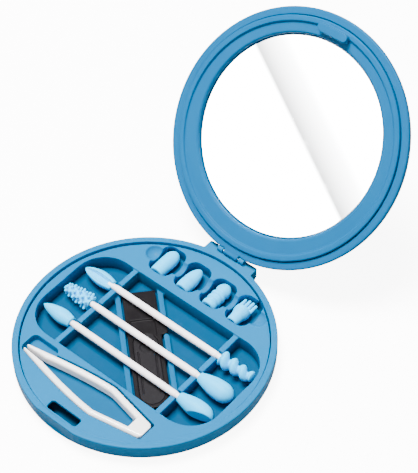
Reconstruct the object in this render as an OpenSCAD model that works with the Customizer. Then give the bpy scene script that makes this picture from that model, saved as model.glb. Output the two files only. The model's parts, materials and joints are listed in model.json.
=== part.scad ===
// Round hinged mirror compact for ear cleaning: three double-ended silicone swabs,
// four loose silicone tips, plastic tweezers and a flat handle, each in its own pocket.
// The lid is drawn at its open stop. X runs along the hinge and the swabs, +Y towards the hinge.

/* [Case] */
// Diameter of the lower half
case_d = 100; // [98:1:122]
// Height of the lower half, from the table to the top of its rim
base_h = 9; // [8.8:0.1:12]
// Width of the rim around the tray
rim_w = 2.6; // [2:0.1:4]
// Radius of the rounded edge under the lower half
belly_r = 4.4; // [2:0.1:5]
// Thickness of the lower half's floor
floor_t = 1.2; // [0.8:0.1:1.6]
// Radius that breaks the moulded edges of the rims
edge_r = 0.5; // [0.2:0.1:0.8]
// Length of the flat thumb notch in the front wall
notch_l = 18.6; // [10:0.2:24]
// Height of the ledge left under the thumb notch
notch_z = 3.2; // [2:0.1:5]

/* [Lid] */
// How far the lid stands past the lower half all round
lid_over = 0.6; // [0:0.1:1]
// Thickness of the lid, from its rim to its back
lid_h = 5; // [4.8:0.1:8]
// Wall of the lid's back
lid_t = 1.2; // [0.8:0.1:1.6]
// Radius of the rounded edge of the lid's back
lid_r = 3.6; // [1:0.1:3.6]
// Gap left between the two rims when the lid is shut
lid_gap = 0.2; // [0.1:0.05:0.5]
// How far the raised ring stands out of the lid's rim plane
ring_h = 1; // [0.5:0.1:1]
// Width of the raised ring
ring_w = 2.4; // [1.5:0.1:4]
// Thickness of the frame's flat band
band_t = 1.3; // [0.8:0.1:1.6]
// Diameter of the mirror
mirror_d = 78.6; // [60:0.2:80]
// Thickness of the mirror
mirror_t = 1.1; // [0.8:0.1:2]
// How deep the mirror lies below the lid's rim plane
mirror_z = 2.1; // [1.9:0.1:2.6]
// How far the mirror's centre lies towards the latch
mirror_y = 1; // [0:0.1:2]
// Wall around the mirror
mirror_wall = 1.2; // [0.8:0.1:2]

/* [Hinge] */
// How far the pin lies behind the lower half's wall
pin_out = 1; // [0.8:0.1:1.2]
// How far the pin lies above the lower half's rim
pin_up = 1.2; // [1.1:0.1:1.4]
// Diameter of the pin
pin_d = 1; // [0.8:0.1:1.4]
// Outside diameter of the knuckles
knuckle_d = 2.4; // [2.2:0.1:3.2]
// Width of the hinge block
hinge_w = 23.4; // [16:0.2:30]
// Width of the row of knuckles
row_w = 13; // [12:0.5:15]
// Width of the lid's middle knuckle
mid_w = 7; // [5:0.5:8]
// How far the hinge block stands out past the pin
block_out = 2; // [1.8:0.1:3]
// Height of the hinge block's underside
block_z = 3.5; // [2:0.1:5]
// Angle between the shut lid and the open stop
open_deg = 131; // [95:1:132]

/* [Latch] */
// Length of the latch tab
tab_l = 13.6; // [8:0.2:18]
// Thickness of the latch tab
tab_w = 3.2; // [2:0.1:3.6]
// How far the latch tab stands out of the lid's rim plane
tab_h = 3.6; // [2.5:0.1:4.5]
// How far the latch tab reaches into the raised ring
tab_in = 0.8; // [0:0.1:1]
// Play of the tab in its slot, on each side
tab_play = 0.3; // [0.3:0.05:0.6]

/* [Tray] */
// How far the tray's face lies below the rim
deck_drop = 1.2; // [1.1:0.1:1.6]
// Thickness of the tray's face
deck_t = 1.4; // [1:0.1:2]
// Gap around the edge of the tray
deck_gap = 0.35; // [0.2:0.05:0.6]
// Wall around each pocket
tray_wall = 1.2; // [0.8:0.1:1.4]
// Width of the large pocket
pocket_w = 45.2; // [44:0.2:46]
// Corner radius of the large pocket
pocket_r = 13; // [6:0.5:16]
// How far the large pocket's centre lies towards the hinge
pocket_y = 0.7; // [0:0.1:1]
// Room at each end of the swabs
pocket_end = 1.4; // [0.8:0.1:2]
// Thickness of the cross ribs
rib_t = 2.3; // [1.5:0.1:2.6]
// Gap between the cross ribs and the longer heads beside them
rib_clear = 0.25; // [0.1:0.05:1]
// Thickness of the two slanted ribs that hold the handle
guide_t = 2.2; // [1.2:0.1:2.4]
// Slant of the handle and its ribs
handle_deg = -42; // [-44:0.5:-40]

/* [Swabs] */
// Length of each swab, tip to tip
swab_l = 84.2; // [80:0.1:86]
// Distance between neighbouring swabs
swab_pitch = 11.7; // [11:0.1:12]
// Diameter of the stick
stick_d = 3; // [2.6:0.1:3.6]
// Diameter of the stick where it enters a head
spigot_d = 2.2; // [1.6:0.1:2.4]
// Gap between the sticks and the handle under them
stick_gap = 0.5; // [0.3:0.05:0.6]
// Length of the heads on the left
head_left_l = 14.4; // [10:0.1:15]
// Length of the heads on the right
head_right_l = 15.4; // [10:0.1:16.5]
// Depth that the stick goes into a head
spigot_l = 9; // [6:0.1:10]

/* [Loose tips] */
// Length of a loose tip
tip_l = 13.1; // [11:0.1:13.4]
// Diameter of a loose tip
tip_d = 6.2; // [5:0.1:6.4]
// Distance between neighbouring tip pockets
tip_pitch = 12.9; // [12:0.1:14]
// Width of a tip pocket
tip_pocket_w = 10.7; // [8:0.1:11]
// Length of a tip pocket
tip_pocket_l = 14.4; // [13.6:0.1:15]
// Distance from the case's centre to the centre of the tip pockets
tip_y = 34.4; // [34:0.1:34.8]
// Width of the finger trough across the tip pockets
trough_w = 7.3; // [5:0.1:9]
// Depth of the finger trough
trough_deep = 2.6; // [1.5:0.1:3.2]
// Length of the finger trough
trough_l = 59.2; // [52:0.2:60]

/* [Tweezers] */
// Length of the tweezers
tweezer_l = 60.2; // [50:0.2:61]
// Width of an arm, up from the tray
tweezer_h = 5; // [3:0.1:5.2]
// Thickness of an arm
arm_t = 2.6; // [1.6:0.1:3]
// Half width of the tweezers at the bend
bend_h = 7.5; // [6:0.1:7.6]
// Distance from the tip to the bend
bend_l = 39; // [30:0.2:40]
// Half width of the tweezers at the closed end
tail_h = 3.5; // [3.2:0.1:4]
// Thickness of the closed end
tail_t = 6.4; // [5:0.1:7]
// Gap between the two points at rest
point_gap = 0.8; // [0.8:0.1:1.8]
// Thickness of an arm at its point
point_t = 0.9; // [0.6:0.1:1.2]
// Play around the tweezers in their recess
tweezer_play = 0.5; // [0.4:0.05:0.8]

/* [Handle] */
// Width of the handle
handle_w = 13; // [11:0.1:13.4]
// Thickness of the handle
handle_t = 2.5; // [1.8:0.1:2.6]
// Room between the handle and the walls of its bay
handle_end = 0.5; // [0.3:0.1:2]
// How far the side lug stands out of the handle
lug_out = 2.6; // [1:0.1:2.8]
// Distance from the handle's square end to the side lug
lug_from = 13.9; // [8:0.1:16]
// Length of the side lug
lug_l = 8; // [5:0.1:8.4]
// Width of the inlaid panel
panel_w = 9.6; // [7:0.1:10.5]
// Distance from the side lug to the centre of the panel's round end
panel_from = 3.5; // [2:0.1:5]
// Depth of the recess for the panel
panel_deep = 0.9; // [0.5:0.1:1.2]

/* [Hidden] */
$fn = 96;
eps = 0.01;
run_gap = 0.03;                        // running fit of the pin
knuckle_gap = 0.3;                     // air between knuckles and what they turn past
rest_gap = 0.1;                        // air under a tool that lies in its pocket
seat_gap = 0.3;                        // air around a stick in a rib
arm_gap = 0.05;                        // running fit of the tweezers' arms
case_r = case_d / 2;
in_r = case_r - rim_w;                 // inside of the rim
pin_y = case_r + pin_out;
pin_z = base_h + pin_up;
block_y = pin_y + block_out;
// How far an ear's foot reaches in from the pin: above the shut lid's rim it stays inside the knuckle
ear_in = sqrt(max(0.04, pow(knuckle_d / 2, 2) - pow(pin_up - lid_gap, 2)));
step_deep = 0.25;                      // step in the hinge block, under the edge of the open lid
step_y = pin_y + 0.4;
lid_rad = case_r + lid_over;
shut_z = base_h + lid_gap;             // the lid's rim plane when shut
back_z = shut_z + lid_h;               // the lid's back when shut
cavity_r = in_r;                       // inside of the lid's rim
frame_gap = 0.1;
ring_r = in_r - 0.1;
recess_r = mirror_d / 2 + 0.2;
mirror_low = shut_z + mirror_z;
pad_low = mirror_low + mirror_t;
pad_r = mirror_d / 2 - 2;
deck_z = base_h - deck_drop;
deck_r = in_r - deck_gap;
tray_r = deck_r - 0.5;                 // outside of anything below the deck
slot_l = tab_l + 2 * tab_play;
slot_w = tab_w + 2 * tab_play;
slot_y = ring_r - ring_w - tab_w / 2 + tab_in;   // centre of latch slot and tab
slot_lip = 0.2;
pocket_l = swab_l + 2 * pocket_end;
handle_low = floor_t + rest_gap;
swab_z = handle_low + handle_t + stick_gap + stick_d / 2;   // centre line of the swabs
rib_x = swab_l / 2 - max(head_left_l, head_right_l) - rib_clear - rib_t / 2;
rib_z = swab_z + 1.2;                  // top of the cross ribs
seat_r = stick_d / 2 + seat_gap;
stick_low = swab_z - stick_d / 2;
guide_z = stick_low - 0.5;             // top of the slanted ribs
guide_y = handle_w / 2 + 0.7 + guide_t / 2;
panel_gap = 0.1;
groove_deep = 0.5;                     // grooves in the handle and its panel
groove_w = 0.6;
groove_in = 1.6;                       // from the panel's sides to its two grooves
groove_x = 3.5;                        // from the panel's round end to where they start
dent_r = 2.4;                          // dent in the panel
dent_x = 1.5;
slant_y = 0.4;                         // how far the slant's middle lies in front of the pocket's
bay_x = rib_x - rib_t / 2 - handle_end;
bay_y = pocket_w / 2 - handle_end;
// Ends of the handle along its slant: the square one by the back wall, the round one by the front
handle_x0 = -min((bay_x + handle_w / 2 * sin(handle_deg)) / cos(handle_deg),
                 (bay_y + slant_y - handle_w / 2 * cos(handle_deg)) / -sin(handle_deg));
handle_x1 = min((bay_x - handle_w / 2) / cos(handle_deg),
                (bay_y - slant_y - handle_w / 2) / -sin(handle_deg)) + handle_w / 2;
lug_x = handle_x0 + lug_from;
lug_play = 1;
gap_x0 = lug_x - lug_play;             // the slot in a slanted rib for the lug
gap_x1 = lug_x + lug_l + lug_play;
panel_x = lug_x + lug_l + panel_from;
tip_z = deck_z - 2.1;                  // centre line of the loose tips
tip_floor = tip_z - tip_d / 2 - rest_gap;
tip_mid_x = 0.7;                       // centre of the row of tips
tip_off = [-0.5, -0.4, 0, -1];         // where each tip has rolled to in its pocket
tip_y0 = tip_y - tip_l / 2;
trough_r = (pow(trough_w / 2, 2) + pow(trough_deep, 2)) / (2 * trough_deep);
tweezer_mid_x = -1.9;                  // middle of the tweezers' length
tweezer_x0 = tweezer_mid_x - tweezer_l / 2;   // the points
tweezer_x1 = tweezer_x0 + tweezer_l;   // the closed end
tweezer_y = -in_r + 16.4;              // centre line of the tweezers
tweezer_top = deck_z + 0.1;
tweezer_low = tweezer_top - tweezer_h;
pivot_x = tweezer_x1 - tail_t + 0.8;
recess_l = 13;                         // finger recess over the points
recess_w = 8.4;
recess_x = tweezer_x0 + 5;
recess_y = tweezer_y + 2.4;
left_x = -swab_l / 2 + head_left_l;    // where the left heads end
right_x = swab_l / 2 - head_right_l;

// Points of a circular arc from angle a to angle b
function arc(x, y, r, a, b, n = 8) =
    [for (i = [0:n]) let (t = a + (b - a) * i / n) [x + r * cos(t), y + r * sin(t)]];
// Half width of the tweezers' outside at x: a curve from point to bend, then a straight
function outside(x) = let (t = (x - tweezer_x0) / bend_l, tip_h = point_gap / 2 + point_t)
    t < 1 ? tip_h + (bend_h - tip_h) * (1 - pow(max(0, 1 - t), 1.5))
          : bend_h + (tail_h - bend_h) * (x - tweezer_x0 - bend_l) / (tweezer_l - bend_l);
function arm_at(x) = min(arm_t, point_t + (x - tweezer_x0) * 0.16);
function across(y) = swab_pitch * y + pocket_y;

module rrect(l, w, r) {
    square([l, w - 2 * r], center = true);
    square([l - 2 * r, w], center = true);
    for (x = [-1, 1], y = [-1, 1]) translate([x * (l / 2 - r), y * (w / 2 - r)]) circle(r);
}
module ring2d(r_out, r_in) {
    difference() { circle(r_out); circle(r_in); }
}
// Moves a shape drawn as shut to the open stop
module opened() {
    translate([0, pin_y, pin_z]) rotate([-open_deg, 0, 0]) translate([0, -pin_y, -pin_z]) children();
}
module along_x(x0, x1, r) {
    translate([x0, 0, 0]) rotate([0, 90, 0]) cylinder(h = x1 - x0, r = r);
}
module at_pin() { translate([0, pin_y, pin_z]) children(); }

/* Case */
module base_shell() {
    ear_x = mid_w / 2 + knuckle_gap;
    color([0.36, 0.70, 0.85]) difference() {
        union() {
            rotate_extrude() polygon(concat([[0, 0]],
                arc(case_r - belly_r, belly_r, belly_r, -90, 0),
                arc(case_r - edge_r, base_h - edge_r, edge_r, 0, 90, 4),
                [[in_r, base_h]],
                arc(in_r - 2, floor_t + 2, 2, 0, -90), [[0, floor_t]]));
            hinge_block();
            for (s = [-1, 1]) intersection() {
                union() {
                    at_pin() along_x(-row_w / 2, row_w / 2, knuckle_d / 2);
                    translate([-row_w / 2, pin_y - ear_in, base_h - 1])
                        cube([row_w, ear_in + knuckle_d / 2, pin_up + 1]);
                }
                translate([s > 0 ? ear_x : -row_w / 2, 0, 0])
                    cube([row_w / 2 - ear_x, case_d, 3 * base_h]);
            }
        }
        at_pin() along_x(-ear_x, ear_x, knuckle_d / 2 + knuckle_gap);
        at_pin() along_x(-row_w, row_w, pin_d / 2);
        translate([-notch_l / 2, -case_d, notch_z])
            cube([notch_l, case_d - sqrt(pow(case_r, 2) - pow(notch_l / 2, 2)), base_h]);
    }
}
module hinge_block() {
    y0 = in_r - 2;
    difference() {
        translate([0, (y0 + block_y) / 2, block_z]) linear_extrude(base_h - block_z)
            rrect(hinge_w, block_y - y0, 1);
        translate([0, 0, -eps]) cylinder(h = 2 * base_h, r = in_r + eps);
        translate([0, step_y + lid_rad, base_h - step_deep]) cylinder(h = base_h, r = lid_rad);
        translate([-hinge_w, block_y, block_z]) rotate([45, 0, 0]) translate([0, -1.2, -1.2])
            cube([2 * hinge_w, 2.4, 2.4]);
    }
}
module hinge_pin() {
    color([0.75, 0.76, 0.78]) at_pin() along_x(-row_w / 2 + 0.3, row_w / 2 - 0.3, pin_d / 2);
}
module lid_cover() {
    color([0.28, 0.59, 0.78]) opened() difference() {
        union() {
            rotate_extrude() polygon(concat([[0, back_z]],
                [for (p = arc(lid_rad - lid_r, back_z - lid_r, lid_r, 90, 0)) p],
                arc(lid_rad - edge_r, shut_z + edge_r, edge_r, 0, -90, 4),
                [[cavity_r, shut_z], [cavity_r, back_z - lid_t], [0, back_z - lid_t]]));
            at_pin() along_x(-mid_w / 2, mid_w / 2, knuckle_d / 2);
            translate([-mid_w / 2, cavity_r + 0.5, shut_z])
                cube([mid_w, pin_y - cavity_r - 0.5, pin_up - lid_gap + knuckle_d / 2]);
        }
        at_pin() along_x(-mid_w, mid_w, pin_d / 2 + run_gap);
        for (s = [-1, 1]) at_pin() translate([s * (row_w + mid_w) / 4, 0, 0])
            along_x(-(row_w - mid_w) / 4 - (s < 0 ? knuckle_gap : 0),
                    (row_w - mid_w) / 4 + (s > 0 ? knuckle_gap : 0), knuckle_d / 2 + knuckle_gap);
    }
}
module mirror_frame() {
    r = ring_r - frame_gap;
    soft = 0.4;
    color([0.26, 0.57, 0.77]) opened() difference() {
        union() {
            rotate_extrude() polygon(concat(
                [[recess_r - 3, shut_z], [r - ring_w, shut_z]],
                arc(r - ring_w + soft, shut_z - ring_h + soft, soft, 180, 270, 4),
                arc(r - soft, shut_z - ring_h + soft, soft, 270, 360, 4),
                [[r, shut_z + band_t], [recess_r - 3, shut_z + band_t]]));
            translate([0, -mirror_y, shut_z])
                cylinder(h = lid_h - lid_t, r = recess_r + mirror_wall);
            translate([0, -slot_y, shut_z - tab_h]) linear_extrude(tab_h + band_t)
                rrect(tab_l, tab_w, tab_w / 2 - eps);
            translate([0, tab_w / 2 - slot_y, deck_z - deck_t - 0.4])
                along_x(-tab_l / 2 + tab_w / 2, tab_l / 2 - tab_w / 2, tab_play - 0.15);
        }
        translate([0, -mirror_y, shut_z - eps]) cylinder(h = 0.6, r1 = recess_r + 0.6, r2 = recess_r);
        translate([0, -mirror_y, shut_z]) cylinder(h = lid_h, r = recess_r);
    }
}
module mirror_glass() {
    color([0.93, 0.95, 0.96]) opened() translate([0, -mirror_y, mirror_low])
        cylinder(h = mirror_t, d = mirror_d);
}
module mirror_pad() {
    color([0.2, 0.2, 0.2]) opened() translate([0, -mirror_y, pad_low])
        cylinder(h = back_z - lid_t - pad_low, r = pad_r);
}

/* Tray */
module slant() { translate([0, pocket_y - slant_y]) rotate(handle_deg) children(); }
module tweezer_shape(grow) {
    x0 = tweezer_x0 - grow;
    n = 20;
    up = [for (i = [0:n]) let (x = tweezer_x0 + bend_l * i / n) [x, outside(x) + grow]];
    end = [[tweezer_x1 + grow, tail_h + grow]];
    half = concat([[x0, up[0][1]]], up, end);
    translate([0, tweezer_y]) polygon(concat(half,
        [for (i = [len(half) - 1:-1:0]) [half[i][0], -half[i][1]]]));
}
module finger_recess(grow) {
    translate([recess_x, recess_y]) rrect(recess_l + 2 * grow, recess_w + 2 * grow, 2);
}
module tip_pockets(grow) {
    for (i = [0:3]) translate([tip_mid_x + tip_pitch * (i - 1.5), tip_y])
        rrect(tip_pocket_w + 2 * grow, tip_pocket_l + 2 * grow, 3.6 + grow);
}
module trough() {
    x = trough_l / 2 - trough_w / 2;
    translate([tip_mid_x, tip_y, deck_z - trough_deep + trough_r]) {
        along_x(-x, x, trough_r);
        for (s = [-x, x]) translate([s, 0, 0]) sphere(r = trough_r);
    }
}
module tray_insert() {
    wall_h = deck_z - floor_t;
    color([0.34, 0.69, 0.85]) difference() {
        union() {
            translate([0, 0, deck_z - deck_t]) cylinder(h = deck_t, r = deck_r);
            translate([0, 0, floor_t]) intersection() {
                cylinder(h = wall_h, r = tray_r);
                union() {
                    linear_extrude(wall_h) translate([0, pocket_y])
                        rrect(pocket_l + 2 * tray_wall, pocket_w + 2 * tray_wall, pocket_r + tray_wall);
                    linear_extrude(wall_h) translate([tip_mid_x, tip_y])
                        rrect(trough_l + 2 * tray_wall, tip_pocket_l + 2 * tray_wall, 5);
                    linear_extrude(wall_h) union() {
                        tweezer_shape(tweezer_play + tray_wall);
                        finger_recess(tray_wall);
                    }
                }
            }
        }
        big_pocket();
        translate([0, 0, tip_floor]) linear_extrude(base_h) tip_pockets(0);
        trough();
        translate([0, 0, tweezer_low - rest_gap]) linear_extrude(base_h) tweezer_shape(tweezer_play);
        translate([0, 0, deck_z - 3]) linear_extrude(base_h) finger_recess(0);
        translate([0, -slot_y, 0]) linear_extrude(base_h) rrect(slot_l, slot_w, 1);
        translate([0, -slot_y, deck_z - slot_lip]) linear_extrude(base_h)
            rrect(slot_l + 2 * slot_lip, slot_w + 2 * slot_lip, 1 + slot_lip);
    }
}
// The large pocket's hollow, around its ribs
module big_pocket() {
    difference() {
        translate([0, pocket_y, floor_t - eps]) linear_extrude(base_h) rrect(pocket_l, pocket_w, pocket_r);
        for (x = [-rib_x, rib_x]) difference() {
            translate([x - rib_t / 2, pocket_y - pocket_w / 2, 0]) cube([rib_t, pocket_w, rib_z]);
            for (y = [-1:1]) translate([0, across(y), swab_z]) {
                along_x(x - rib_t, x + rib_t, seat_r);
                translate([x - rib_t, -seat_r, 0]) cube([2 * rib_t, 2 * seat_r, base_h]);
            }
        }
        linear_extrude(guide_z) intersection() {
            square([2 * rib_x, case_d], center = true);
            slant() for (s = [-1, 1]) difference() {
                translate([-case_r, s * guide_y - guide_t / 2]) square([case_d, guide_t]);
                if (s > 0) difference() {
                    translate([gap_x0, guide_y - guide_t]) square([gap_x1 - gap_x0, 2 * guide_t]);
                    for (x = [gap_x0, gap_x1]) translate([x, guide_y]) circle(guide_t / 2);
                }
            }
        }
    }
}

/* Swabs: each is a stick with a spigot at both ends and two moulded heads */
module swab(y) { translate([0, across(y), swab_z]) children(); }
module stick(y) {
    neck = 1.6;
    color([0.97, 0.96, 0.97]) swab(y) rotate([0, 90, 0]) rotate_extrude() polygon([
        [0, left_x - spigot_l], [spigot_d / 2, left_x - spigot_l], [spigot_d / 2, left_x],
        [stick_d / 2 - 0.35, left_x], [stick_d / 2 - 0.25, left_x + neck], [stick_d / 2, left_x + 2 * neck],
        [stick_d / 2, right_x - 2 * neck], [stick_d / 2 - 0.25, right_x - neck],
        [stick_d / 2 - 0.35, right_x], [spigot_d / 2, right_x], [spigot_d / 2, right_x + spigot_l],
        [0, right_x + spigot_l]]);
}
module stick_back() { stick(1); }
module stick_middle() { stick(0); }
module stick_front() { stick(-1); }
// Turns [distance from the open end, radius] points into a head with a socket for the spigot
module head(y, s, points) {
    color([0.63, 0.88, 0.96]) swab(y) translate([s > 0 ? right_x : left_x, 0, 0])
        rotate([0, s * 90, 0]) difference() {
            rotate_extrude() polygon(concat([[0, 0]], [for (p = points) [p[1], p[0]]]));
            translate([0, 0, -eps]) cylinder(h = spigot_l + eps, r = spigot_d / 2);
        }
}
// Radius of a bud of length l: a quick swell to r at share m of its length, then a taper to the tip
function bud(l, r0, r, m, p, n = 16) = [for (i = [0:n]) let (t = i / n)
    [l * t, t < m ? r0 + (r - r0) * sin(90 * t / m) : r * pow(max(0, 1 - pow((t - m) / (1 - m), p)), 0.6)]];
module head_leaf() {
    l = head_left_l;
    difference() {
        head(1, -1, bud(l, 2.2, 3.1, 0.4, 1.5));
        swab(1) translate([-swab_l / 2 + 3, 0, 3.4]) rotate([0, 4, 0]) along_x(0, l - 6, 1);
    }
}
module head_screw() {
    l = head_right_l;
    n = 48;
    points = [for (i = [0:n]) let (t = i / n)
        [l * t, (3.2 - 1 * t) + (0.6 - 0.2 * t) * sin(360 * (l * t - 2) / 4.3 + 20)]];
    head(1, 1, concat(points, [[l, 0]]));
}
module head_brush() {
    l = head_left_l;
    n = 48;
    points = [for (i = [0:n]) let (t = i / n)
        [l * t, (3.3 - 1.8 * t * t) + 0.5 * cos(360 * l * t / 2.4)]];
    head(0, -1, concat(points, [[l, 0]]));
}
module head_bud() { head(0, 1, bud(head_right_l, 2, 3.9, 0.62, 2.6)); }
module head_point() { head(-1, -1, bud(head_left_l, 2.3, 3.05, 0.35, 1.35)); }
module head_slant() {
    difference() {
        head(-1, 1, bud(head_right_l, 2, 3.65, 0.55, 3));
        swab(-1) translate([swab_l / 2 + 0.4, -0.3, 0]) rotate([5, 0, 18]) translate([-18, -8, -6])
            cube([20, 8, 12]);
    }
}

/* Loose tips: each has the same socket as a head, at the end towards the swabs */
module tip(i, points) {
    color([0.63, 0.88, 0.96]) translate([tip_mid_x + tip_pitch * (i - 1.5) + tip_off[i], tip_y0, tip_z])
        rotate([-90, 0, 0]) difference() {
            rotate_extrude() polygon(concat([[0, 0]], points));
            translate([0, 0, -eps]) cylinder(h = spigot_l - 2, r = spigot_d / 2);
        }
}
module tip_round() {
    r = tip_d / 2;
    tip(0, concat([[r - 0.3, 0], [r - 0.1, 2]], arc(0, tip_l - r, r, 0, 90)));
}
module tip_taper() {
    r = tip_d / 2;
    tip(1, concat([[r - 0.3, 0], [r, 1.5], [r, 5]], arc(0, tip_l - 2.7, 2, 10, 90)));
}
module tip_ribbed() {
    r = tip_d / 2;
    step = 2.6;
    tip(2, concat([[r - 0.3, 0]],
        [for (i = [0:2]) each [[r, 0.6 + step * i], [r, 1.9 + step * i], [r - 0.45, 2.3 + step * i],
                               [r - 0.45, 2.9 + step * i]]],
        arc(0, tip_l - r, r, 0, 90)));
}
module tip_claw() {
    r = tip_d / 2;
    base_r = 2.4;
    finger_l = 5;
    x = tip_mid_x + tip_pitch * 1.5 + tip_off[3];
    tip(3, [[base_r, 0], [base_r, 4], [r, 6.4], [r, tip_l - finger_l], [0, tip_l - finger_l]]);
    color([0.63, 0.88, 0.96]) for (i = [0:3]) translate([x + 1.75 * (i - 1.5), tip_y0 + tip_l - finger_l, tip_z])
        rotate([-90, 0, 0]) {
            cylinder(h = finger_l - 0.7, r1 = 0.8, r2 = 0.6);
            translate([0, 0, finger_l - 0.7]) sphere(r = 0.6);
        }
}

/* Tweezers */
module at_tweezers() { translate([0, tweezer_y, tweezer_low]) children(); }
// Where the back arm turns, in the closed end
function pivot() = [pivot_x, outside(pivot_x) - arm_t / 2];
module arm2d() {
    n = 24;
    r = arm_t / 2;
    xs = [for (i = [0:n]) tweezer_x0 + (pivot_x - tweezer_x0) * i / n];
    polygon(concat([for (x = xs) [x, outside(x)]],
        [for (p = arc(pivot().x, pivot().y, r, 80, -80)) p],
        [for (i = [n:-1:0]) [xs[i], outside(xs[i]) - arm_at(xs[i])]]));
}
module arm(s) {
    color([0.96, 0.95, 0.94]) at_tweezers() linear_extrude(tweezer_h) mirror([0, s < 0 ? 1 : 0]) arm2d();
}
module tweezer_arm_back() { arm(1); }
module tweezer_arm_front() { arm(-1); }
module tweezer_bridge() {
    x0 = tweezer_x1 - tail_t;
    soft = 1;
    color([0.96, 0.95, 0.94]) at_tweezers() linear_extrude(tweezer_h) difference() {
        polygon([[x0, -outside(x0)], [tweezer_x1 - soft, -tail_h], [tweezer_x1, soft - tail_h],
                 [tweezer_x1, tail_h - soft], [tweezer_x1 - soft, tail_h], [x0, outside(x0)]]);
        for (s = [-1, 1]) translate([pivot().x, s * pivot().y]) {
            circle(arm_t / 2 + arm_gap);
            translate([-tail_t, s > 0 ? -arm_t / 2 - arm_gap : -arm_t]) square([tail_t, 1.5 * arm_t + arm_gap]);
        }
    }
}

/* Handle */
module handle_outline(w, x0, x1) {
    translate([x0, -w / 2]) square([x1 - x0 - w / 2, w]);
    translate([x1 - w / 2, 0]) circle(w / 2);
}
module panel2d(gap) {
    x1 = handle_x1 - (handle_w - panel_w) / 2 - gap;
    handle_outline(panel_w - 2 * gap, panel_x, x1);
    translate([panel_x, 0]) circle(panel_w / 2 - gap);
}
module handle_body() {
    color([0.17, 0.16, 0.17]) translate([0, 0, handle_low]) difference() {
        linear_extrude(handle_t) slant() {
            handle_outline(handle_w, handle_x0, handle_x1);
            translate([lug_x + lug_l / 2, handle_w / 2]) rrect(lug_l, 2 * lug_out, 1.5);
        }
        translate([0, 0, handle_t - panel_deep]) linear_extrude(handle_t) slant() panel2d(0);
        translate([0, 0, handle_t - groove_deep]) linear_extrude(handle_t) slant()
            translate([lug_x, -panel_w / 2]) square([lug_l, panel_w]);
    }
}
module handle_panel() {
    color([0.27, 0.26, 0.28]) translate([0, 0, handle_low + handle_t - panel_deep]) difference() {
        linear_extrude(panel_deep - 0.1) slant() panel2d(panel_gap);
        translate([0, 0, panel_deep - groove_deep]) linear_extrude(handle_t) slant() {
            translate([panel_x + dent_x, 0]) circle(dent_r);
            for (s = [-1, 1]) translate([panel_x + groove_x, s * (panel_w / 2 - groove_in) - groove_w / 2])
                square([handle_x1 - handle_w / 2 - panel_x - groove_x, groove_w]);
        }
    }
}

base_shell();
tray_insert();
hinge_pin();
lid_cover();
mirror_frame();
mirror_glass();
mirror_pad();
stick_back();
head_leaf();
head_screw();
stick_middle();
head_brush();
head_bud();
stick_front();
head_point();
head_slant();
tip_round();
tip_taper();
tip_ribbed();
tip_claw();
tweezer_bridge();
tweezer_arm_back();
tweezer_arm_front();
handle_body();
handle_panel();
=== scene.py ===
import json
import math

import bmesh
import bpy
from mathutils import Matrix, Vector


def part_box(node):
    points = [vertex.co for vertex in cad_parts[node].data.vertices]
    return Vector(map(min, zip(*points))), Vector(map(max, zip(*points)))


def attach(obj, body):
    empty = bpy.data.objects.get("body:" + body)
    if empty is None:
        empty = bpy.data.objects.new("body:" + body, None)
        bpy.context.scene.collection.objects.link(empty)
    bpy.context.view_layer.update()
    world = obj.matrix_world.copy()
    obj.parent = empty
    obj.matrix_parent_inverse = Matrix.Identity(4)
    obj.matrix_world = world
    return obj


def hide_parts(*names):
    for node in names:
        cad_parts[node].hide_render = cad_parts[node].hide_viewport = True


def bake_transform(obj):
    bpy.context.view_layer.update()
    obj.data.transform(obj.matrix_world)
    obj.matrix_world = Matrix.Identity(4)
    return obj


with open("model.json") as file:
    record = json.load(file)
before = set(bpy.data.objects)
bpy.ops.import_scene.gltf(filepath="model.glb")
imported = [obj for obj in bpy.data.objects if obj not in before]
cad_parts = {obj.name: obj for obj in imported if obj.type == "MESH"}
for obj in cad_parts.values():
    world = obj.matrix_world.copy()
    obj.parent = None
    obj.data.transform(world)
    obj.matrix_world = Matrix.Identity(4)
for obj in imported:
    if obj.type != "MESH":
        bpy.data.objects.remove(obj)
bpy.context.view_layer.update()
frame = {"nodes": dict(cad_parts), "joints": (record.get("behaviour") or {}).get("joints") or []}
nodes = frame["nodes"]
mm = 0.001


# Camera
cameraView = {"place": (0.25985, -0.26303, 0.48655), "turn": 40.816, "height": 48.783, "roll": -0.9265,
              "lens": 122.2, "sensor": 36}


def addCamera(view):
    data = bpy.data.cameras.new("camera")
    data.lens = view["lens"]
    data.sensor_width = view["sensor"]
    camera = bpy.data.objects.new("camera", data)
    bpy.context.scene.collection.objects.link(camera)
    turn = (Matrix.Rotation(math.radians(view["turn"]), 3, "Z")
            @ Matrix.Rotation(math.radians(90 - view["height"]), 3, "X")
            @ Matrix.Rotation(math.radians(view["roll"]), 3, "Z"))
    camera.location = view["place"]
    camera.rotation_euler = turn.to_euler()
    bpy.context.scene.camera = camera
    return camera


camera = addCamera(cameraView)
print("camera ready")


# Shader groups that several finishes share
def newGroup(name, inputs, outputs):
    group = bpy.data.node_groups.new(name, "ShaderNodeTree")
    for label, kind, value in inputs:
        socket = group.interface.new_socket(label, in_out="INPUT", socket_type=kind)
        if value is not None:
            socket.default_value = value
    for label, kind in outputs:
        group.interface.new_socket(label, in_out="OUTPUT", socket_type=kind)
    return group, group.nodes.new("NodeGroupInput"), group.nodes.new("NodeGroupOutput")


def addNode(tree, kind, settings=None, **inputs):
    node = tree.nodes.new(kind)
    for key, value in (settings or {}).items():
        setattr(node, key, value)
    for key, value in inputs.items():
        socket = node.inputs[int(key[2:])] if key.startswith("in") else node.inputs[key]
        if isinstance(value, bpy.types.NodeSocket):
            tree.links.new(value, socket)
        else:
            socket.default_value = value
    return node


def noise(tree, vector, scale, detail=2.0, rough=0.5):
    node = addNode(tree, "ShaderNodeTexNoise", Vector=vector, Scale=scale, Detail=detail, Roughness=rough)
    return node.outputs[0]


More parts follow.
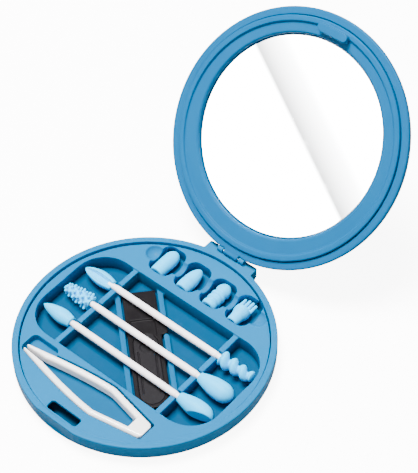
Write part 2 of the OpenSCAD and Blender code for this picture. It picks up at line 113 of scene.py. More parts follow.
def mathNode(tree, operation, a, b):
    return addNode(tree, "ShaderNodeMath", {"operation": operation}, in0=a, in1=b).outputs[0]


def mixColor(tree, factor, a, b):
    node = addNode(tree, "ShaderNodeMix", {"data_type": "RGBA"}, in0=factor, in6=a, in7=b)
    return node.outputs[2]


def stretch(tree, value, low, high, toLow, toHigh):
    node = addNode(tree, "ShaderNodeMapRange", in0=value, in1=low, in2=high, in3=toLow, in4=toHigh)
    return node.outputs[0]


def mouldedAndShadeGroup():
    # Moulded plastic: slow drift of tone, fine spark grain, faint marks of handling, and painted shade
    # that darkens the colour low in the part, for the shade that falls deep in the pockets
    group, source, sink = newGroup("mouldedFinishAndShade", [
        ("Vector", "NodeSocketVector", None), ("Base", "NodeSocketColor", (0.5, 0.5, 0.5, 1)),
        ("Deep", "NodeSocketColor", (0.3, 0.3, 0.3, 1)), ("Tone", "NodeSocketFloat", 0.15),
        ("Roughness", "NodeSocketFloat", 0.4), ("Smudge", "NodeSocketFloat", 0.08),
        ("Grain Scale", "NodeSocketFloat", 4000.0), ("Depth Amount", "NodeSocketFloat", 0.0)],
        [("Color", "NodeSocketColor"), ("Roughness", "NodeSocketFloat"), ("Height", "NodeSocketFloat")])
    get = source.outputs
    drift = noise(group, get["Vector"], 45.0, 3.0)
    speck = noise(group, get["Vector"], get["Grain Scale"], 2.0, 0.6)
    smear = noise(group, get["Vector"], 160.0, 4.0, 0.65)
    toned = mathNode(group, "MULTIPLY", stretch(group, drift, 0.35, 0.65, 0.0, 1.0), get["Tone"])
    fleck = mathNode(group, "MULTIPLY", stretch(group, speck, 0.3, 0.7, 0.0, 0.5), get["Tone"])
    color = mixColor(group, mathNode(group, "ADD", toned, fleck), get["Base"], get["Deep"])
    height = addNode(group, "ShaderNodeSeparateXYZ", Vector=get["Vector"]).outputs[2]
    # Painted shade: from 6 mm down to 1.4 mm of height the colour fades toward near black
    depth = mathNode(group, "MULTIPLY", stretch(group, height, 0.0014, 0.006, 1.0, 0.0), get["Depth Amount"])
    color = mixColor(group, depth, color, (0.0, 0.0, 0.01, 1))
    marks = mathNode(group, "MULTIPLY", stretch(group, smear, 0.4, 0.7, -0.5, 1.0), get["Smudge"])
    rough = mathNode(group, "ADD", get["Roughness"], marks)
    group.links.new(color, sink.inputs["Color"])
    group.links.new(rough, sink.inputs["Roughness"])
    group.links.new(speck, sink.inputs["Height"])
    return group


def dustGroup():
    # A little lint and dust that settles on faces that look up
    group, source, sink = newGroup("settledDust", [
        ("Vector", "NodeSocketVector", None), ("Color", "NodeSocketColor", (0.5, 0.5, 0.5, 1)),
        ("Dust", "NodeSocketColor", (0.9, 0.9, 0.9, 1)), ("Amount", "NodeSocketFloat", 0.1)],
        [("Color", "NodeSocketColor")])
    get = source.outputs
    normal = group.nodes.new("ShaderNodeNewGeometry").outputs["Normal"]
    up = addNode(group, "ShaderNodeSeparateXYZ", Vector=normal).outputs[2]
    fibre = noise(group, get["Vector"], 900.0, 3.0, 0.7)
    patch = noise(group, get["Vector"], 70.0, 2.0)
    mask = mathNode(group, "MULTIPLY", stretch(group, fibre, 0.58, 0.72, 0.0, 1.0),
                 stretch(group, patch, 0.4, 0.65, 0.2, 1.0))
    mask = mathNode(group, "MULTIPLY", mask, stretch(group, up, 0.5, 1.0, 0.0, 1.0))
    mask = mathNode(group, "MULTIPLY", mask, get["Amount"])
    group.links.new(mixColor(group, mask, get["Color"], get["Dust"]), sink.inputs["Color"])
    return group


moulded = mouldedAndShadeGroup()
dust = dustGroup()


def finish(name, look):
    # One moulded finish: the shared groups feed a Principled shader of its own
    material = bpy.data.materials.new(name)
    material.use_nodes = True
    tree = material.node_tree
    shader = tree.nodes["Principled BSDF"]
    place = addNode(tree, "ShaderNodeTexCoord").outputs["Object"]
    body = addNode(tree, "ShaderNodeGroup", {"node_tree": moulded}, Vector=place, Base=(*look["base"], 1),
                   Deep=(*look["deep"], 1), Tone=look["tone"], Roughness=look["rough"],
                   Smudge=look["smudge"])
    body.inputs["Grain Scale"].default_value = look["grain"]
    body.inputs["Depth Amount"].default_value = look.get("depthAmount", 0.0)
    lint = addNode(tree, "ShaderNodeGroup", {"node_tree": dust}, Vector=place, Color=body.outputs["Color"],
                   Dust=(0.9, 0.92, 0.94, 1), Amount=look["dust"])
    bump = addNode(tree, "ShaderNodeBump", Height=body.outputs["Height"], Strength=look["bump"],
                   Distance=look["relief"])
    tree.links.new(lint.outputs["Color"], shader.inputs["Base Color"])
    tree.links.new(body.outputs["Roughness"], shader.inputs["Roughness"])
    tree.links.new(bump.outputs["Normal"], shader.inputs["Normal"])
    for socket, value in look.get("shader", {}).items():
        shader.inputs[socket].default_value = value
    return material


looks = {
    "trayBlue": {"base": (0.0, 0.120, 0.270), "deep": (0.0, 0.104, 0.245), "tone": 0.35, "rough": 0.32,
                 "smudge": 0.08, "grain": 5200.0, "dust": 0.003, "bump": 0.1, "relief": 0.00006,
                 # The tray plastic gets painted shade on its low parts, deepest in the pockets
                 "depthAmount": 0.6, "shader": {"Specular IOR Level": 0.03}},
    # The lid plastic is the tray's plastic with a darker base: painted shade for the lid, which tilts away
    # from the overhead light
    "lidBlue": {"base": (0.0, 0.088, 0.215), "deep": (0.0, 0.074, 0.190), "tone": 0.35, "rough": 0.32,
                "smudge": 0.08, "grain": 5200.0, "dust": 0.003, "bump": 0.1, "relief": 0.00006,
                "shader": {"Specular IOR Level": 0.03}},
    "siliconeBlue": {"base": (0.0, 0.52, 0.93), "deep": (0.0, 0.44, 0.85), "tone": 0.3, "rough": 0.5,
                     "smudge": 0.08, "grain": 3500.0, "dust": 0.02, "bump": 0.2, "relief": 0.00008,
                     "shader": {"Specular IOR Level": 0.15, "Subsurface Weight": 0.2,
                                "Subsurface Radius": (0.6, 0.9, 1.0), "Subsurface Scale": 0.0012}},
    "stickWhite": {"base": (0.92, 0.88, 0.90), "deep": (0.85, 0.82, 0.85), "tone": 0.3, "rough": 0.4,
                   "smudge": 0.08, "grain": 4200.0, "dust": 0.05, "bump": 0.15, "relief": 0.00005,
                   "shader": {"Subsurface Weight": 0.08, "Subsurface Radius": (1.0, 0.9, 0.85),
                              "Subsurface Scale": 0.001}},
    "tweezerWhite": {"base": (0.90, 0.88, 0.87), "deep": (0.82, 0.80, 0.80), "tone": 0.25, "rough": 0.22,
                     "smudge": 0.08, "grain": 3800.0, "dust": 0.04, "bump": 0.1, "relief": 0.00005,
                     "shader": {"Coat Weight": 0.5, "Coat Roughness": 0.08}},
    "handleBlack": {"base": (0.004, 0.0035, 0.004), "deep": (0.007, 0.006, 0.007), "tone": 0.5, "rough": 0.35,
                    "smudge": 0.1, "grain": 3000.0, "dust": 0.004, "bump": 0.15, "relief": 0.00008,
                    "shader": {"Specular IOR Level": 0.05}},
    "panelGrey": {"base": (0.006, 0.0055, 0.0065), "deep": (0.009, 0.008, 0.0095), "tone": 0.5, "rough": 0.5,
                  "smudge": 0.1, "grain": 2400.0, "dust": 0.003, "bump": 0.3, "relief": 0.0001,
                  "shader": {"Specular IOR Level": 0.06}},
    "padFoam": {"base": (0.03, 0.03, 0.03), "deep": (0.05, 0.05, 0.05), "tone": 0.6, "rough": 0.9,
                "smudge": 0.05, "grain": 1500.0, "dust": 0.1, "bump": 0.8, "relief": 0.0002},
}
finishes = {name: finish(name, look) for name, look in looks.items()}


metalLooks = {
    "pinSteel": {"low": (0.50, 0.51, 0.53, 1), "high": (0.66, 0.67, 0.69, 1), "lines": (40, 3000, 3000)},
    "mirrorSilver": {"clean": (0.93, 0.945, 0.955, 1), "marked": (0.88, 0.90, 0.91, 1), "rough": 0.015},
}


def steelFinish(look):
    # Drawn wire: fine lines along the pin
    material = bpy.data.materials.new("pinSteel")
    material.use_nodes = True
    tree = material.node_tree
    shader = tree.nodes["Principled BSDF"]
    place = addNode(tree, "ShaderNodeTexCoord").outputs["Object"]
    lines = addNode(tree, "ShaderNodeMapping", Vector=place, Scale=look["lines"]).outputs[0]
    drawn = noise(tree, lines, 1.0, 3.0, 0.6)
    shader.inputs["Metallic"].default_value = 1.0
    tree.links.new(mixColor(tree, drawn, look["low"], look["high"]), shader.inputs["Base Color"])
    tree.links.new(stretch(tree, drawn, 0.3, 0.7, 0.22, 0.42), shader.inputs["Roughness"])
    bump = addNode(tree, "ShaderNodeBump", Height=drawn, Strength=0.2, Distance=0.00003)
    tree.links.new(bump.outputs["Normal"], shader.inputs["Normal"])
    return material


def mirrorFinish(look):
    # Silvered glass with a trace of finger marks in scattered patches
    material = bpy.data.materials.new("mirrorSilver")
    material.use_nodes = True
    tree = material.node_tree
    shader = tree.nodes["Principled BSDF"]
    place = addNode(tree, "ShaderNodeTexCoord").outputs["Object"]
    wipe = noise(tree, place, 60.0, 4.0, 0.7)
    marks = noise(tree, place, 420.0, 3.0, 0.6)
    mask = mathNode(tree, "MULTIPLY", stretch(tree, wipe, 0.5, 0.75, 0.0, 1.0), marks)
    shader.inputs["Metallic"].default_value = 1.0
    tree.links.new(mixColor(tree, mask, look["clean"], look["marked"]), shader.inputs["Base Color"])
    tree.links.new(stretch(tree, mask, 0.0, 1.0, look["rough"], 0.09), shader.inputs["Roughness"])
    return material


finishes["pinSteel"] = steelFinish(metalLooks["pinSteel"])
finishes["mirrorSilver"] = mirrorFinish(metalLooks["mirrorSilver"])
print("finishes ready")


# Mesh helpers
def only(piece):
    # Selects one piece and nothing else
    bpy.ops.object.select_all(action="DESELECT")
    piece.select_set(True)
    bpy.context.view_layer.objects.active = piece


def dress(piece, material, body, slot, *stands):
    piece.data.materials.clear()
    piece.data.materials.append(finishes[material])
    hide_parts(*stands)
    if body:
        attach(piece, body)
    return piece


def settle(piece, angle=35):
    # Puts the place into the mesh, turns faces outward and smooths what isn't an edge
    only(piece)
    bpy.ops.object.transform_apply(location=True, rotation=True, scale=True)
    bpy.ops.object.mode_set(mode="EDIT")
    bpy.ops.mesh.select_all(action="SELECT")
    bpy.ops.mesh.normals_make_consistent(inside=False)
    bpy.ops.object.mode_set(mode="OBJECT")
    bpy.ops.object.shade_smooth_by_angle(angle=math.radians(angle))


def apply(piece, kind, **settings):
    only(piece)
    modifier = piece.modifiers.new(kind, kind)
    for key, value in settings.items():
        setattr(modifier, key, value)
    bpy.ops.object.modifier_apply(modifier=modifier.name)


def softened(node, name, look, shut=None):
    # A copy of a moulded part whose sharp corners get the small radius that a mould leaves
    piece = nodes[node].copy()
    piece.data = nodes[node].data.copy()
    for key in list(piece.keys()):
        del piece[key]
    piece.parent = None
    piece.name = name
    bpy.context.scene.collection.objects.link(piece)
    only(piece)
    bpy.ops.object.mode_set(mode="EDIT")
    bpy.ops.mesh.select_all(action="SELECT")
    bpy.ops.mesh.remove_doubles(threshold=0.000002)
    bpy.ops.object.mode_set(mode="OBJECT")
    bpy.ops.mesh.customdata_custom_splitnormals_clear()
    if shut:
        piece.data.transform(shut)
    apply(piece, "REMESH", mode="VOXEL", voxel_size=look["voxel"], use_smooth_shade=True)
    apply(piece, "SMOOTH", factor=0.5, iterations=look["rounds"])
    apply(piece, "DECIMATE", ratio=look["keep"])
    if shut:
        piece.data.transform(shut.inverted())
    only(piece)
    bpy.ops.object.shade_smooth()
    apply(piece, "WEIGHTED_NORMAL", weight=60)
    return piece


def turned(name, foot, along, rings, sides=48, shape=None, twist=0.0):
    # A turned piece: a disc at its foot, pulled out from ring to ring. Rings are (distance, radius)
    bpy.ops.object.select_all(action="DESELECT")
    turn = Vector((0, 0, 1)).rotation_difference(along).to_euler()
    here, radius = foot + along * rings[0][0], rings[0][1]
    bpy.ops.mesh.primitive_circle_add(vertices=sides, radius=radius, fill_type="NGON", location=here,
                                      rotation=turn)
    piece = bpy.context.object
    piece.name = name
    axis = max(range(3), key=lambda i: abs(along[i]))
    bpy.ops.object.mode_set(mode="EDIT")
    if shape:
        shape(piece, here)
    bpy.ops.mesh.select_all(action="SELECT")
    for distance, nextRadius in rings[1:]:
        there = foot + along * distance
        bpy.ops.mesh.extrude_region_move(TRANSFORM_OT_translate={"value": there - here})
        size = nextRadius / radius
        bpy.ops.transform.resize(value=[1 if i == axis else size for i in range(3)], center_override=there)
        if twist:
            bpy.ops.transform.rotate(value=twist * (there - here).length, orient_axis="XYZ"[axis],
                                     center_override=there)
        here, radius = there, nextRadius
    bpy.ops.object.mode_set(mode="OBJECT")
    settle(piece)
    return piece


def choose(piece, keep):
    # In edit mode: selects the points whose place, in metres, passes the test
    mesh = bmesh.from_edit_mesh(piece.data)
    for vert in mesh.verts:
        vert.select = keep(piece.matrix_world @ vert.co)
    mesh.select_flush_mode()
    bmesh.update_edit_mesh(piece.data)


def remesh(piece, voxel, smoothing=4):
    apply(piece, "REMESH", mode="VOXEL", voxel_size=voxel, use_smooth_shade=True)
    apply(piece, "SMOOTH", factor=0.5, iterations=smoothing)
    only(piece)
    bpy.ops.object.shade_smooth()


def joined(pieces, name):
    only(pieces[0])
    for piece in pieces:
        piece.select_set(True)
    bpy.ops.object.join()
    whole = bpy.context.object
    whole.name = name
    return whole


def duplicate(piece, turn):
    copy = piece.copy()
    copy.data = piece.data.copy()
    copy.data.transform(turn)
    bpy.context.scene.collection.objects.link(copy)
    return copy


def middle(node):
    low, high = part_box(node)
    return (low + high) / 2


# The case, the lid and what is fixed in them
caseLook = {"shell": {"voxel": 0.27 * mm, "rounds": 2, "keep": 0.35},
            "tray": {"voxel": 0.26 * mm, "rounds": 3, "keep": 0.35},
            "cover": {"voxel": 0.3 * mm, "rounds": 3, "keep": 0.3},
            "ring": {"voxel": 0.24 * mm, "rounds": 3, "keep": 0.5},
            "glass": {"voxel": 0.25 * mm, "rounds": 2, "keep": 0.25}}


def jointNamed(name):
    return next(joint for joint in frame["joints"] if joint["name"] == name)


def lidShut():
    # Turns a point of the open lid to where it is when the lid is shut
    hinge = jointNamed("lid_hinge")
    pin = Matrix.Translation(hinge["pos_m"])
    turn = Matrix.Rotation(math.radians(hinge["range_deg"][0]), 4, Vector(hinge["axis"]))
    return pin @ turn @ pin.inverted()


def makeCase(look):
    shut = lidShut()
    for node, name, fine, material, body, slot in (
            ("base_shell", "caseShell", "shell", "trayBlue", "case", "tray_blue"),
            ("tray_insert", "trayInsert", "tray", "trayBlue", "case", "tray_blue"),
            ("lid_cover", "lidCover", "cover", "lidBlue", "lid", "lid_blue"),
            ("mirror_frame", "mirrorFrame", "ring", "lidBlue", "lid", "lid_blue"),
            ("mirror_glass", "mirrorGlass", "glass", "mirrorSilver", "lid", "mirror")):
        piece = softened(node, name, look[fine], shut if body == "lid" else None)
        dress(piece, material, body, slot, node)
    for node, material in (("hinge_pin", "pinSteel"), ("mirror_pad", "padFoam")):
        nodes[node].data.materials.clear()
        nodes[node].data.materials.append(finishes[material])


makeCase(caseLook)
print("case ready")


# Swabs
swabLook = {"stick": 1.38 * mm, "neck": 1.1 * mm, "neckLength": 1.3 * mm, "shoulder": 0.8 * mm,
            "leafTurn": math.radians(24),
            "crease": ((1.54 * mm, 0.8), (0.99 * mm, 0.64), (0.484 * mm, 0.6)),
            "thread": 4.3 * mm, "threadCore": 2.85 * mm, "threadReach": 0.42 * mm, "threadRings": 52,
            "dent": 0.17 * mm, "dentWidths": (2.3 * mm, 1.7 * mm, 1.15 * mm, 0.6 * mm),
            "bristleRows": 6, "bristles": 7, "bristle": 3.8 * mm, "bristleRoot": 1.2 * mm,
            "brushBody": 2.1 * mm, "brushTaper": 0.7 * mm, "nib": 1.8 * mm,
            "slantIn": (0.4 * mm, -0.3 * mm), "slantFacing": (0.308, -0.947, -0.087), "fine": 0.13 * mm}
# Plain heads: radius at the foot, share of the length where they are fullest, power of the taper
headShapes = {"head_leaf": (2.2 * mm, 0.4, 1.5, 24), "head_bud": (2.0 * mm, 0.62, 2.6, 28),
              "head_point": (2.2 * mm, 0.35, 1.35, 28), "head_slant": (2.0 * mm, 0.55, 3.0, 28)}
sides = {"back": ("head_leaf", "head_screw"), "middle": ("head_brush", "head_bud"),
         "front": ("head_point", "head_slant")}


def ends(node):
    # Foot, direction, length and radius of a head, from the part it stands for
    low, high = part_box(node)
    centre = (low + high) / 2
    left = centre.x < 0
    foot = Vector((high.x if left else low.x, centre.y, centre.z))
    return foot, Vector((-1 if left else 1, 0, 0)), high.x - low.x, (high.y - low.y) / 2


def swell(node):
    # Quick swell to the full radius at a share of the length, then a taper to the tip
    length, full = ends(node)[2:]
    start, share, power, steps = headShapes[node]
    rings = []
    for i in range(steps + 1):
        t = i / steps
        if t < share:
            radius = start + (full - start) * math.sin(math.pi / 2 * t / share)
        else:
            radius = full * max(0.02, 1 - ((t - share) / (1 - share)) ** power) ** 0.6
        rings.append((length * t, radius))
    return rings


def makeStick(name, look):
    left, right = sides[name]
    start, stop = ends(left)[0], ends(right)[0]
    start.z = stop.z = middle("stick_" + name).z
    start.y = stop.y = middle("stick_" + name).y
    length = stop.x - start.x
    neck, full = look["neck"], look["stick"]
    half = [(-2 * mm, neck * 0.9), (0, neck), (look["neckLength"], neck * 1.06)]
    for i in range(1, 9):
        t = i / 8
        half.append((look["neckLength"] + look["shoulder"] * t,
                     neck * 1.06 + (full - neck * 1.06) * (3 * t * t - 2 * t ** 3)))
    rings = half + [(length * t, full) for t in (0.25, 0.5, 0.75)]
    rings += [(length - distance, radius) for distance, radius in reversed(half)]
    stick = turned("stick" + name.capitalize(), start, Vector((1, 0, 0)), rings, 40)
    dress(stick, "stickWhite", "swab_" + name, "stick_white", "stick_" + name)


def makeLeaf(look):
    foot, along = ends("head_leaf")[:2]

    def crease(piece, here):
        # A crease along the top of the leaf
        for width, pull in look["crease"]:
            choose(piece, lambda p: (p - here).z > 0 and abs((p - here).y) < width)
            bpy.ops.transform.resize(value=(1, 1, pull), center_override=here)

    leaf = turned("headLeaf", foot, along, swell("head_leaf"), 64, crease)
    leaf.data.transform(Matrix.Translation(foot) @ Matrix.Rotation(look["leafTurn"], 4, "X")
                        @ Matrix.Translation(-foot))
    remesh(leaf, look["fine"], 2)
    dress(leaf, "siliconeBlue", "swab_back", "silicone", "head_leaf")


def makeScrew(look):
    foot, along, length = ends("head_screw")[:3]

    def lobe(piece, here):
        # The disc is pulled off its axis and dented: turned on as it grows, it becomes a thread with
        # round crests and narrow grooves
        choose(piece, lambda p: True)
        bpy.ops.transform.translate(value=(0, 0, -look["threadReach"]))
        for width in look["dentWidths"]:
            choose(piece, lambda p: (p - here).z > 0 and abs((p - here).y) < width)
            bpy.ops.transform.translate(value=(0, 0, -look["dent"]))

    core, count, lip = look["threadCore"], look["threadRings"], 0.3 * mm
    rings = [(0, core * 0.8), (lip, core)]
    for i in range(1, count + 1):
        t = i / count
        rings.append((lip + (length - lip) * t,
                      core * (1.06 - 0.3 * t) * {count: 0.5, count - 1: 0.82}.get(i, 1)))
    screw = turned("headScrew", foot, along, rings, 48, lobe, -2 * math.pi / look["thread"])
    remesh(screw, look["fine"])
    dress(screw, "siliconeBlue", "swab_back", "silicone", "head_screw")


def makeBrush(look):
    foot, along, length = ends("head_brush")[:3]
    rings, steps = [], 16
    for i in range(steps + 1):
        t = i / steps
        rings.append((0.5 * mm + (length - 1.5 * mm) * t,
                      (look["brushBody"] - look["brushTaper"] * t * t) * (0.5 if i == steps else 1)))
    pieces = [turned("headBrush", foot, along, rings, 40)]
    rows, around = look["bristleRows"], look["bristles"]
    for row in range(rows):
        t = (row + 0.45) / rows
        reach = look["bristle"] - 1.6 * t * t * mm
        root = foot + along * (0.7 * mm + (length - 1.6 * mm) * t)
        bristle = turned("bristle", root, Vector((0, 0, 1)),
                         [(look["bristleRoot"], 0.74 * mm), (reach - 0.45 * mm, 0.56 * mm),
                          (reach - 0.12 * mm, 0.43 * mm), (reach, 0.2 * mm)], 12)
        for i in range(around):
            turn = (Matrix.Translation(root)
                    @ Matrix.Rotation(2 * math.pi * (i + 0.5 * (row % 2)) / around, 4, "X")
                    @ Matrix.Translation(-root))
            pieces.append(duplicate(bristle, turn))
        bpy.data.objects.remove(bristle)
    tipRoot = foot + along * (length - look["nib"])
    for lean in (-0.6, 0.0, 0.6):
        nib = turned("bristle", tipRoot, along,
                     [(0, 0.55 * mm), (1.4 * mm, 0.4 * mm), (look["nib"], 0.15 * mm)], 10)
        nib.data.transform(Matrix.Translation(tipRoot) @ Matrix.Rotation(lean, 4, "Z")
                           @ Matrix.Translation(-tipRoot))
        pieces.append(nib)
    brush = joined(pieces, "headBrush")
    remesh(brush, look["fine"], 2)
    dress(brush, "siliconeBlue", "swab_middle", "silicone", "head_brush")


def makePlainHeads(look):
    for node, name, body in (("head_bud", "headBud", "swab_middle"),
                             ("head_point", "headPoint", "swab_front"),
                             ("head_slant", "headSlant", "swab_front")):
        foot, along, length = ends(node)[:3]
        head = turned(name, foot, along, swell(node))
        if node == "head_slant":
            # A flat facet, cut across the front of the head
            back, side = look["slantIn"]
            only(head)
            bpy.ops.object.mode_set(mode="EDIT")
            bpy.ops.mesh.select_all(action="SELECT")
            bpy.ops.mesh.bisect(plane_co=foot + Vector((length + back, side, 0)),
                                plane_no=look["slantFacing"], use_fill=True, clear_outer=True)
            bpy.ops.object.mode_set(mode="OBJECT")
            remesh(head, look["fine"], 8)
        dress(head, "siliconeBlue", body, "silicone", node)


for name in sides:
    makeStick(name, swabLook)
makeLeaf(swabLook)
makeScrew(swabLook)
makeBrush(swabLook)
makePlainHeads(swabLook)
print("swabs ready")


# Loose tips
tipLook = {"wall": 0.3 * mm, "bore": 1.1 * mm, "boreDepth": 6 * mm, "ribs": 3, "rib": 2.5 * mm,
           "ribDepth": 0.5 * mm, "waist": 0.8 * mm, "fingers": 4, "finger": 5.6 * mm,
           "fingerPitch": 1.68 * mm, "fine": 0.13 * mm}


def tipFoot(node):
    low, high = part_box(node)
    foot = Vector(((low.x + high.x) / 2, low.y, (low.z + high.z) / 2))
    return foot, high.y - low.y, (high.x - low.x) / 2


def dome(length, radius, reach, steps=10):
    # Rings of a rounded end
    return [(length - reach + reach * math.sin(math.pi / 2 * i / steps),
             radius * max(0.03, math.cos(math.pi / 2 * i / steps))) for i in range(steps + 1)]


def bored(radius, look):
    # The socket for a stick, as rings that start deep inside
    return [(look["boreDepth"], look["bore"] * 0.9), (0.3 * mm, look["bore"]),
            (0, look["bore"] + look["wall"]), (0, radius - 0.55 * mm), (0.25 * mm, radius - 0.25 * mm)]


def makeTips(look):
    along = Vector((0, 1, 0))
    foot, length, radius = tipFoot("tip_round")
    rings = bored(radius, look) + [(2 * mm, radius - 0.08 * mm), (5 * mm, radius)]
    tip = turned("tipRound", foot, along, rings + dome(length, radius, 4.2 * mm))
    dress(tip, "siliconeBlue", "round_tip", "silicone", "tip_round")
    foot, length, radius = tipFoot("tip_taper")
    rings = bored(radius, look) + [(1.5 * mm, radius), (4.6 * mm, radius)]
    tip = turned("tipTaper", foot, along, rings + dome(length, radius, 8 * mm, 14))
    dress(tip, "siliconeBlue", "taper_tip", "silicone", "tip_taper")
    foot, length, radius = tipFoot("tip_ribbed")
    rings = bored(radius, look)
    for i in range(look["ribs"]):
        at, valley = 0.9 * mm + look["rib"] * i, radius - look["ribDepth"]
        rings += [(at, radius), (at + 1.1 * mm, radius), (at + 1.5 * mm, valley), (at + 2.1 * mm, valley)]
    tip = turned("tipRibbed", foot, along, rings + dome(length, radius, 4 * mm))
    remesh(tip, look["fine"], 6)
    dress(tip, "siliconeBlue", "ribbed_tip", "silicone", "tip_ribbed")
    foot, length, radius = tipFoot("tip_claw")
    palm = length - look["finger"]
    rings = bored(radius - look["waist"], look)
    rings += [(3.6 * mm, radius - look["waist"]), (5.4 * mm, radius - 0.2 * mm), (6.6 * mm, radius),
              (palm + 0.3 * mm, radius - 0.15 * mm), (palm + 0.9 * mm, radius * 0.55)]
    pieces = [turned("tipClaw", foot, along, rings)]
    last = look["fingers"] - 1
    for i in range(last + 1):
        root = foot + Vector((look["fingerPitch"] * (i - last / 2), 0, 0))
        reach = length - (0.5 * mm if i in (0, last) else 0)
        pieces.append(turned("finger", root, along, [(palm - 1.2 * mm, 0.85 * mm), (palm + 1 * mm, 0.72 * mm)]
                             + dome(reach, 0.62 * mm, 0.7 * mm, 5), 16))
    tip = joined(pieces, "tipClaw")
    remesh(tip, look["fine"], 3)
    dress(tip, "siliconeBlue", "claw_tip", "silicone", "tip_claw")


makeTips(tipLook)
print("tips ready")


# Tweezers: two arms and a closed end in one moulding, kept as two halves split down the middle
tweezerLook = {"bend": 39 * mm, "pointGap": 0.8 * mm, "pointWall": 1.1 * mm, "armWall": 2.6 * mm,
               "taper": 0.16, "tail": 3.5 * mm, "endLength": 6.4 * mm, "root": 2 * mm, "round": 1.25 * mm,
               "stations": 44, "fine": 0.17 * mm}


def outside(x, start, length, widest, look):
    # Half width at x: a curve from the points to the bend, then straight to the closed end
    t = (x - start) / look["bend"]
    tip = look["pointGap"] / 2 + look["pointWall"]
    if t < 1:
        return tip + (widest - tip) * (1 - max(0, 1 - t) ** 1.5)
    return widest + (look["tail"] - widest) * (x - start - look["bend"]) / (length - look["bend"])


def roundedBar(name, stations, low, high, corner):
    # A bar pulled out along X from station to station. Stations are (x, lower y, upper y)
    x, y0, y1 = stations[0]
    bpy.ops.object.select_all(action="DESELECT")
    bpy.ops.mesh.primitive_plane_add(size=1, location=(x, (y0 + y1) / 2, (low + high) / 2),
                                     rotation=(0, math.pi / 2, 0))
    bar = bpy.context.object
    bar.name = name
    wide = stations[len(stations) // 2]
    bar.scale = (high - low, wide[2] - wide[1], 1)
    bpy.ops.object.transform_apply(location=False, rotation=False, scale=True)
    bpy.ops.object.mode_set(mode="EDIT")
    bpy.ops.mesh.select_all(action="SELECT")
    bpy.ops.mesh.bevel(offset=corner, segments=5, affect="VERTICES")
    bpy.ops.mesh.select_all(action="SELECT")
    here, width = Vector((x, (y0 + y1) / 2, (low + high) / 2)), wide[2] - wide[1]
    bpy.ops.transform.resize(value=(1, (y1 - y0) / width, 1), center_override=here)
    width = y1 - y0
    for x, y0, y1 in stations[1:]:
        there = Vector((x, (y0 + y1) / 2, here.z))
        bpy.ops.mesh.extrude_region_move(TRANSFORM_OT_translate={"value": there - here})
        bpy.ops.transform.resize(value=(1, (y1 - y0) / width, 1), center_override=there)
        here, width = there, y1 - y0
    bpy.ops.object.mode_set(mode="OBJECT")
    settle(bar)
    return bar


def makeTweezers(look):
    lowArm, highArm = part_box("tweezer_arm_back")
    lowEnd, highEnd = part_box("tweezer_bridge")
    start, stop = lowArm.x, highEnd.x
    centre = (lowEnd.y + highEnd.y) / 2
    widest = highArm.y - centre
    count = look["stations"]
    pieces = []
    for side in (1, -1):
        stations = []
        for i in range(count + 1):
            x = start + (stop - 0.9 * mm - start) * i / count
            out = outside(x, start, stop - start, widest, look)
            wall = min(look["armWall"], look["pointWall"] + (x - start) * look["taper"])
            spots = sorted((centre + side * out, centre + side * (out - wall)))
            stations.append((x, *spots))
        pieces.append(roundedBar("tweezers", stations, lowArm.z, highArm.z, look["round"]))
    end = []
    for x, inset in ((stop - look["endLength"], 0.9), (stop - 2 * mm, 0.5), (stop - 0.8 * mm, 0.35),
                     (stop - 0.25 * mm, 0.7), (stop, 1.2)):
        half = outside(x, start, stop - start, widest, look) - inset * mm
        end.append((x, centre - half, centre + half))
    pieces.append(roundedBar("tweezers", end, lowArm.z, highArm.z, look["round"] * 0.8))
    whole = joined(pieces, "tweezers")
    remesh(whole, look["fine"], 3)
    for side, body in ((1, "back_arm"), (-1, "front_arm")):
        half = duplicate(whole, Matrix.Identity(4))
        half.name = "tweezersBack" if side > 0 else "tweezersFront"
        only(half)
        bpy.ops.object.mode_set(mode="EDIT")
        bpy.ops.mesh.select_all(action="SELECT")
        bpy.ops.mesh.bisect(plane_co=(0, centre, 0), plane_no=(0, side, 0), use_fill=True,
                            clear_inner=True)
        bpy.ops.object.mode_set(mode="OBJECT")
        bpy.ops.object.shade_smooth_by_angle(angle=math.radians(50))
        names = ["tweezer_arm_back", "tweezer_bridge"] if side > 0 else ["tweezer_arm_front"]
        dress(half, "tweezerWhite", None, "tweezer_white", *names)
        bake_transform(half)
    bpy.data.objects.remove(whole)


makeTweezers(tweezerLook)
print("tweezers ready")


# Handle
handleLook = {"body": {"voxel": 0.16 * mm, "rounds": 4, "keep": 0.6},
              "panel": {"voxel": 0.12 * mm, "rounds": 2, "keep": 0.6}}


def makeHandle(look):
    dress(softened("handle_body", "handleBody", look["body"]), "handleBlack", "handle", "handle_black",
          "handle_body")
    dress(softened("handle_panel", "handlePanel", look["panel"]), "panelGrey", "handle", "panel_grey",
          "handle_panel")


makeHandle(handleLook)
print("handle ready")


# Stage: a pale floor, soft lights, and a card that the mirror sees
stageLook = {"floor": 3.0, "floorColor": (0.35, 0.35, 0.35),
             "sheetColor": (0.93, 0.93, 0.93), "sheetGlow": 9.0, "sheetHeight": 0.02 * mm,
             "world": 0.5, "worldColor": (0.95, 0.97, 1.0, 1),
             "key": 54, "keyPlace": (-0.22, 0.0, 1.05), "keySize": 0.45,
             "fill": 2, "fillPlace": (0.5, -0.6, 0.8), "fillSize": 0.6,
             # The card's distance behind the glass as a share of the camera's, and its half width
             "cardReach": 1.75, "cardHalf": 60 * mm, "cardWhite": 24.0,
             # Where the fold of light on the card starts and ends, from the middle of the mirror
             "cardFold": ((-22.2 * mm, 19.2 * mm), (27.7 * mm, -13.8 * mm)),
             "cardShades": ((-0.002, 24.0), (0.0015, 3.0), (0.0068, 5.7), (0.0125, 8.5), (0.0195, 12.0))}


def stageMaterial(name, color, glow):
    material = bpy.data.materials.new(name)
    material.use_nodes = True
    shader = material.node_tree.nodes["Principled BSDF"]
    shader.inputs["Base Color"].default_value = (*color, 1)
    shader.inputs["Roughness"].default_value = 0.9
    shader.inputs["Emission Color"].default_value = (*color, 1)
    shader.inputs["Emission Strength"].default_value = glow
    return material


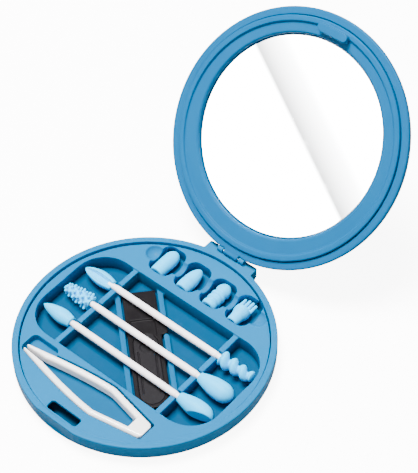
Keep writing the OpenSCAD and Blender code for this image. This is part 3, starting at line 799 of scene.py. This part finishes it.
def addLight(name, place, target, size, power):
    data = bpy.data.lights.new(name, "AREA")
    data.size = size
    data.energy = power
    light = bpy.data.objects.new(name, data)
    bpy.context.scene.collection.objects.link(light)
    light.location = place
    light.rotation_euler = (Vector(target) - Vector(place)).to_track_quat("-Z", "Y").to_euler()


def makeCard(look):
    # A pale card in front of the lid: the mirror shows it, and nothing else is lit by it
    shut = lidShut()
    up = shut.inverted().to_3x3() @ Vector((0, -1, 0))
    normal = up.cross(Vector((1, 0, 0)))
    centre = middle("mirror_glass")
    eye = camera.location - 2 * (camera.location - centre).dot(normal) * normal

    def onCard(x, y):
        return eye + (centre + Vector((x, 0, 0)) + up * y - eye) * look["cardReach"]

    half = look["cardHalf"]
    corners = [onCard(-half, -half), onCard(half, -half), onCard(-half, half), onCard(half, half)]
    bpy.ops.object.select_all(action="DESELECT")
    bpy.ops.mesh.primitive_plane_add(size=1)
    card = bpy.context.object
    card.name = "card"
    for vert, point in zip(card.data.vertices, corners):
        vert.co = point
    material = bpy.data.materials.new("cardWhite")
    material.use_nodes = True
    tree = material.node_tree
    shader = tree.nodes["Principled BSDF"]
    place = addNode(tree, "ShaderNodeTexCoord").outputs["Object"]
    foldStart, foldEnd = (onCard(*spot) for spot in look["cardFold"])
    across = (foldEnd - foldStart).cross(normal).normalized()
    distance = addNode(tree, "ShaderNodeVectorMath", {"operation": "DOT_PRODUCT"}, in0=place, in1=across)
    shift = mathNode(tree, "SUBTRACT", distance.outputs["Value"], foldStart.dot(across))
    low, high = -10 * mm, 30 * mm
    ramp = addNode(tree, "ShaderNodeValToRGB", Fac=stretch(tree, shift, low, high, 0.0, 1.0))
    for stop in ramp.color_ramp.elements:
        stop.color = (look["cardWhite"],) * 3 + (1,)
    for at, level in look["cardShades"]:
        ramp.color_ramp.elements.new((at - low) / (high - low)).color = (level,) * 3 + (1,)
    shader.inputs["Base Color"].default_value = (0, 0, 0, 1)
    tree.links.new(ramp.outputs["Color"], shader.inputs["Emission Color"])
    shader.inputs["Emission Strength"].default_value = 1.0
    card.data.materials.append(material)
    card.visible_camera = False
    card.visible_diffuse = False
    card.visible_shadow = False


def makeStage(look):
    bpy.ops.object.select_all(action="DESELECT")
    bpy.ops.mesh.primitive_plane_add(size=look["floor"], location=(0, 0, 0))
    floor = bpy.context.object
    floor.name = "floor"
    floor.data.materials.append(stageMaterial("floorGrey", look["floorColor"], 0.0))
    # A bright sheet just above the floor that only the camera sees
    bpy.ops.mesh.primitive_plane_add(size=look["floor"], location=(0, 0, look["sheetHeight"]))
    sheet = bpy.context.object
    sheet.name = "sheet"
    sheet.data.materials.append(stageMaterial("sheetWhite", look["sheetColor"], look["sheetGlow"]))
    sheet.visible_diffuse = sheet.visible_glossy = sheet.visible_shadow = False
    world = bpy.data.worlds.new("studio")
    bpy.context.scene.world = world
    world.use_nodes = True
    background = world.node_tree.nodes["Background"]
    background.inputs["Color"].default_value = look["worldColor"]
    background.inputs["Strength"].default_value = look["world"]
    addLight("keyLight", look["keyPlace"], (0, 0, 0), look["keySize"], look["key"])
    addLight("fillLight", look["fillPlace"], (0, 0, 0.03), look["fillSize"], look["fill"])
    makeCard(look)


makeStage(stageLook)
print("stage ready")
